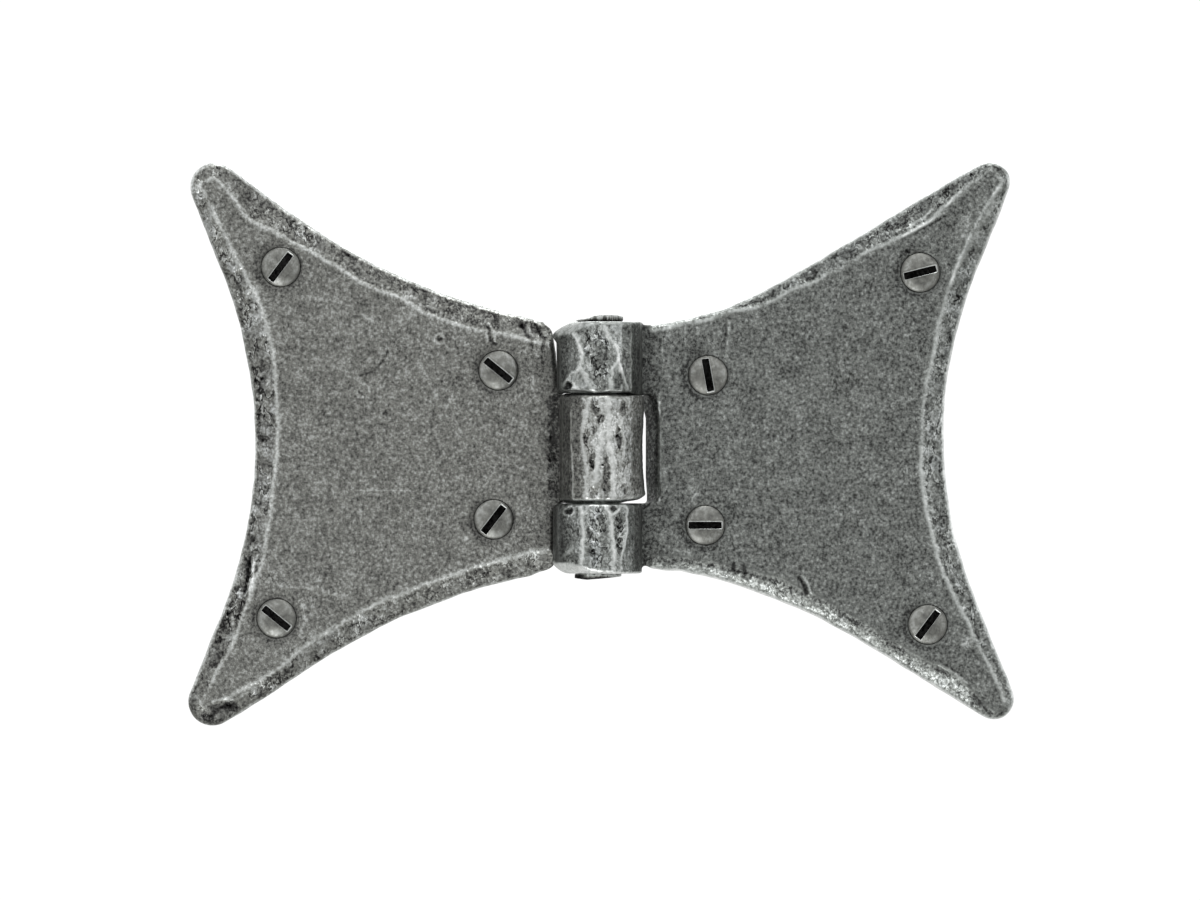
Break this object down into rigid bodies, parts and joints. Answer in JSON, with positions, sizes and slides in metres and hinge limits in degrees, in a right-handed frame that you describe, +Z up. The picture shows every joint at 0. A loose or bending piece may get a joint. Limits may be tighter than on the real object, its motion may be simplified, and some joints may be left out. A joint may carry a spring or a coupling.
{
  "type": "butterfly hinge",
  "caption": "Surface mounted butterfly hinge in hand forged steel: two hollow sided leaves with pointed horns, rolled knuckles on a peened pin, and slotted wood screws.",
  "frame": {"origin": "on the plane of the leaves' backs, straight behind the pin's axis, at the middle of the height over the horns", "axes": "+X to the right along the leaves, +Z up along the pin, +Y into the wood; the fronts face -Y"},
  "size_m": [0.1206, 0.0257, 0.0825],
  "materials": {
    "leaf_steel": "forged, darkened and burnished to a pewter grey",
    "pin_steel": "peened, darkened and burnished to a pewter grey",
    "screw_steel": "darkened and burnished to a pewter grey"
  },
  "bodies": {
    "right_side": {"right_leaf": "leaf_steel", "hinge_pin": "pin_steel", "screw_right_top_inner": "screw_steel", "screw_right_top_outer": "screw_steel", "screw_right_bottom_inner": "screw_steel", "screw_right_bottom_outer": "screw_steel"},
    "left_side": {"left_leaf": "leaf_steel", "screw_left_top_outer": "screw_steel", "screw_left_top_inner": "screw_steel", "screw_left_bottom_inner": "screw_steel", "screw_left_bottom_outer": "screw_steel"}
  },
  "joints": [
    {"name": "leaf_swing", "type": "hinge", "parent": "right_side", "child": "left_side", "pos_m": [0, -0.00618, 0], "axis": [0, 0, 1], "range_deg": [-70, 180]}
  ]
}
